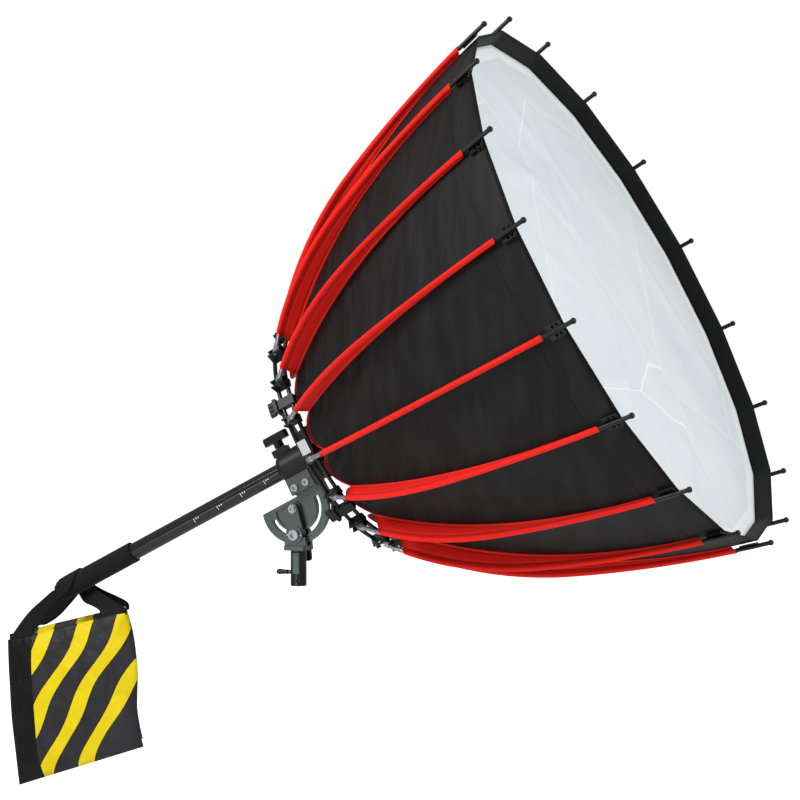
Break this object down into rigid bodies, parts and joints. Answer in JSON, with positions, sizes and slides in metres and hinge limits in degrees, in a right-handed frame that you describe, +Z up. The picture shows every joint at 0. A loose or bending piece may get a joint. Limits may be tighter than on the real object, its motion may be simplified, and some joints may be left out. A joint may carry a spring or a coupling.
{
  "type": "studio softbox",
  "caption": "Deep parabolic photo softbox on folding ribs, with a focusing tube, a tilting stand bracket and a saddle sandbag as counterweight.",
  "frame": {"origin": "centre of the stand receiver's open mouth, on its bore axis", "axes": "+Z up along the stand, +X level towards the softbox's front, +Y to the left of that; the boom rises 27.4 degrees towards +X in the XZ plane"},
  "size_m": [1.3288, 0.9054, 1.246],
  "materials": {
    "bracket_grey": "satin cast alloy, grey-green",
    "screw_steel": "plain steel",
    "hub_dark": "semi-matt dark coating",
    "hoop_steel": "drawn wire",
    "bush_plastic": "matt",
    "knob_black": "matt moulded",
    "rib_steel": "satin",
    "shell_black": "woven, slightly shiny",
    "hem_black": "woven, matt",
    "diffuser_white": "thin white cloth",
    "sleeve_red": "orange-red webbing",
    "tube_black": "gloss black coating",
    "grip_foam": "closed-cell foam",
    "bag_grey": "coated nylon with yellow stripes",
    "strap_black": "webbing"
  },
  "bodies": {
    "stand_bracket": {"stand_receiver": "bracket_grey", "yoke": "bracket_grey", "pivot_bolt": "screw_steel", "clamp_bolt": "screw_steel", "boss_pins": "screw_steel"},
    "receiver_lock": {"receiver_lock_screw": "screw_steel"},
    "tilt_lock": {"tilt_lever": "hub_dark"},
    "head": {"tilt_quadrant": "bracket_grey", "collar_bracket": "bracket_grey", "bracket_bolts": "screw_steel", "collar": "hub_dark", "collar_bushes": "bush_plastic", "spider": "hub_dark", "spider_bolts": "screw_steel", "rear_hoop": "hoop_steel", "front_hoop": "hoop_steel", "hinge_blocks": "hub_dark", "hinge_pins": "screw_steel", "hoop_splice": "hoop_steel", "arm_blocks": "hub_dark", "canopy": "shell_black", "front_hem": "hem_black", "diffuser": "diffuser_white", "rib_sleeves": "sleeve_red"},
    "collar_lock": {"collar_lock_knob": "knob_black"},
    "boom": {"focus_tube": "tube_black", "tube_plug": "knob_black", "foam_grip": "grip_foam", "lamp_clamp": "hub_dark", "lamp_spigot": "screw_steel"},
    "lamp_lock": {"lamp_clamp_screw": "knob_black"},
    "sandbag": {"near_pouch": "bag_grey", "far_pouch": "bag_grey", "hang_straps": "strap_black"},
    "wing_1": {"wing_screw_1": "knob_black"},
    "wing_2": {"wing_screw_2": "knob_black"},
    "wing_3": {"wing_screw_3": "knob_black"},
    "wing_4": {"wing_screw_4": "knob_black"},
    "rib_01": {"rib_01": "rib_steel"},
    "rib_02": {"rib_02": "rib_steel"},
    "rib_03": {"rib_03": "rib_steel"},
    "rib_04": {"rib_04": "rib_steel"},
    "rib_05": {"rib_05": "rib_steel"},
    "rib_06": {"rib_06": "rib_steel"},
    "rib_07": {"rib_07": "rib_steel"},
    "rib_08": {"rib_08": "rib_steel"},
    "rib_09": {"rib_09": "rib_steel"},
    "rib_10": {"rib_10": "rib_steel"},
    "rib_11": {"rib_11": "rib_steel"},
    "rib_12": {"rib_12": "rib_steel"},
    "rib_13": {"rib_13": "rib_steel"},
    "rib_14": {"rib_14": "rib_steel"},
    "rib_15": {"rib_15": "rib_steel"},
    "rib_16": {"rib_16": "rib_steel"},
    "rib_17": {"rib_17": "rib_steel"},
    "rib_18": {"rib_18": "rib_steel"}
  },
  "joints": [
    {"name": "receiver_lock_turn", "type": "hinge", "parent": "stand_bracket", "child": "receiver_lock", "pos_m": [-0.02, 0, 0.022], "axis": [1, 0, 0], "range_deg": [0, 360]},
    {"name": "tilt_lock_turn", "type": "hinge", "parent": "stand_bracket", "child": "tilt_lock", "pos_m": [0, 0.02, 0.0832], "axis": [0, 1, 0], "range_deg": [0, 120]},
    {"name": "tilt", "type": "hinge", "parent": "stand_bracket", "child": "head", "pos_m": [-0.004, 0, 0.125], "axis": [0, -1, 0], "range_deg": [-60, 62]},
    {"name": "collar_lock_turn", "type": "hinge", "parent": "head", "child": "collar_lock", "pos_m": [-0.03917, 0, 0.2363], "axis": [-0.4602, 0, 0.8878], "range_deg": [0, 360]},
    {"name": "boom_slide", "type": "slide", "parent": "head", "child": "boom", "axis": [0.8878, 0, 0.4602], "range_m": [-0.11, 0.26]},
    {"name": "lamp_lock_turn", "type": "hinge", "parent": "boom", "child": "lamp_lock", "pos_m": [0.16811, 0, 0.25364], "axis": [-0.4602, 0, 0.8878], "range_deg": [0, 360]},
    {"name": "bag_swing", "type": "hinge", "parent": "boom", "child": "sandbag", "pos_m": [-0.4073, 0, -0.01084], "axis": [0, 1, 0], "range_deg": [-60, 62], "deforming": ["hang_straps"]},
    {"name": "wing_turn_1", "type": "hinge", "parent": "head", "child": "wing_1", "pos_m": [0.03431, -0.17572, 0.29011], "axis": [0.8878, 0, 0.4602], "range_deg": [0, 360]},
    {"name": "wing_turn_2", "type": "hinge", "parent": "head", "child": "wing_2", "pos_m": [0.11906, -0.14325, 0.12661], "axis": [0.8878, 0, 0.4602], "range_deg": [0, 360]},
    {"name": "wing_turn_3", "type": "hinge", "parent": "head", "child": "wing_3", "pos_m": [0.09318, 0.17572, 0.17655], "axis": [0.8878, 0, 0.4602], "range_deg": [0, 360]},
    {"name": "wing_turn_4", "type": "hinge", "parent": "head", "child": "wing_4", "pos_m": [0.00843, 0.14325, 0.34005], "axis": [0.8878, 0, 0.4602], "range_deg": [0, 360]},
    {"name": "rib_fold_01", "type": "hinge", "parent": "head", "child": "rib_01", "pos_m": [-0.00607, 0, 0.42016], "axis": [0, 1, 0], "range_deg": [0, 36], "deforming": ["canopy", "front_hem", "diffuser", "rib_sleeves"]},
    {"name": "rib_fold_02", "type": "hinge", "parent": "head", "child": "rib_02", "pos_m": [-0.00057, -0.06772, 0.40956], "axis": [-0.1574, 0.9397, 0.3037], "range_deg": [0, 36]},
    {"name": "rib_fold_03", "type": "hinge", "parent": "head", "child": "rib_03", "pos_m": [0.01525, -0.12727, 0.37904], "axis": [-0.2958, 0.766, 0.5707], "range_deg": [0, 36]},
    {"name": "rib_fold_04", "type": "hinge", "parent": "head", "child": "rib_04", "pos_m": [0.03949, -0.17147, 0.33227], "axis": [-0.3985, 0.5, 0.7689], "range_deg": [0, 36]},
    {"name": "rib_fold_05", "type": "hinge", "parent": "head", "child": "rib_05", "pos_m": [0.06923, -0.19499, 0.2749], "axis": [-0.4532, 0.1736, 0.8743], "range_deg": [0, 36]},
    {"name": "rib_fold_06", "type": "hinge", "parent": "head", "child": "rib_06", "pos_m": [0.10088, -0.19499, 0.21385], "axis": [-0.4532, -0.1736, 0.8743], "range_deg": [0, 36]},
    {"name": "rib_fold_07", "type": "hinge", "parent": "head", "child": "rib_07", "pos_m": [0.13061, -0.17147, 0.15648], "axis": [-0.3985, -0.5, 0.7689], "range_deg": [0, 36]},
    {"name": "rib_fold_08", "type": "hinge", "parent": "head", "child": "rib_08", "pos_m": [0.15486, -0.12727, 0.10971], "axis": [-0.2958, -0.766, 0.5707], "range_deg": [0, 36]},
    {"name": "rib_fold_09", "type": "hinge", "parent": "head", "child": "rib_09", "pos_m": [0.17068, -0.06772, 0.07919], "axis": [-0.1574, -0.9397, 0.3037], "range_deg": [0, 36]},
    {"name": "rib_fold_10", "type": "hinge", "parent": "head", "child": "rib_10", "pos_m": [0.17617, 0, 0.06859], "axis": [0, -1, 0], "range_deg": [0, 36]},
    {"name": "rib_fold_11", "type": "hinge", "parent": "head", "child": "rib_11", "pos_m": [0.17068, 0.06772, 0.07919], "axis": [0.1574, -0.9397, -0.3037], "range_deg": [0, 36]},
    {"name": "rib_fold_12", "type": "hinge", "parent": "head", "child": "rib_12", "pos_m": [0.15486, 0.12727, 0.10971], "axis": [0.2958, -0.766, -0.5707], "range_deg": [0, 36]},
    {"name": "rib_fold_13", "type": "hinge", "parent": "head", "child": "rib_13", "pos_m": [0.13061, 0.17147, 0.15648], "axis": [0.3985, -0.5, -0.7689], "range_deg": [0, 36]},
    {"name": "rib_fold_14", "type": "hinge", "parent": "head", "child": "rib_14", "pos_m": [0.10088, 0.19499, 0.21385], "axis": [0.4532, -0.1736, -0.8743], "range_deg": [0, 36]},
    {"name": "rib_fold_15", "type": "hinge", "parent": "head", "child": "rib_15", "pos_m": [0.06923, 0.19499, 0.2749], "axis": [0.4532, 0.1736, -0.8743], "range_deg": [0, 36]},
    {"name": "rib_fold_16", "type": "hinge", "parent": "head", "child": "rib_16", "pos_m": [0.03949, 0.17147, 0.33227], "axis": [0.3985, 0.5, -0.7689], "range_deg": [0, 36]},
    {"name": "rib_fold_17", "type": "hinge", "parent": "head", "child": "rib_17", "pos_m": [0.01525, 0.12727, 0.37904], "axis": [0.2958, 0.766, -0.5707], "range_deg": [0, 36]},
    {"name": "rib_fold_18", "type": "hinge", "parent": "head", "child": "rib_18", "pos_m": [-0.00057, 0.06772, 0.40956], "axis": [0.1574, 0.9397, -0.3037], "range_deg": [0, 36]}
  ],
  "couplings": [
    {"joint": "rib_fold_02", "follows": "rib_fold_01", "ratio": 1},
    {"joint": "rib_fold_03", "follows": "rib_fold_01", "ratio": 1},
    {"joint": "rib_fold_04", "follows": "rib_fold_01", "ratio": 1},
    {"joint": "rib_fold_05", "follows": "rib_fold_01", "ratio": 1},
    {"joint": "rib_fold_06", "follows": "rib_fold_01", "ratio": 1},
    {"joint": "rib_fold_07", "follows": "rib_fold_01", "ratio": 1},
    {"joint": "rib_fold_08", "follows": "rib_fold_01", "ratio": 1},
    {"joint": "rib_fold_09", "follows": "rib_fold_01", "ratio": 1},
    {"joint": "rib_fold_10", "follows": "rib_fold_01", "ratio": 1},
    {"joint": "rib_fold_11", "follows": "rib_fold_01", "ratio": 1},
    {"joint": "rib_fold_12", "follows": "rib_fold_01", "ratio": 1},
    {"joint": "rib_fold_13", "follows": "rib_fold_01", "ratio": 1},
    {"joint": "rib_fold_14", "follows": "rib_fold_01", "ratio": 1},
    {"joint": "rib_fold_15", "follows": "rib_fold_01", "ratio": 1},
    {"joint": "rib_fold_16", "follows": "rib_fold_01", "ratio": 1},
    {"joint": "rib_fold_17", "follows": "rib_fold_01", "ratio": 1},
    {"joint": "rib_fold_18", "follows": "rib_fold_01", "ratio": 1}
  ]
}
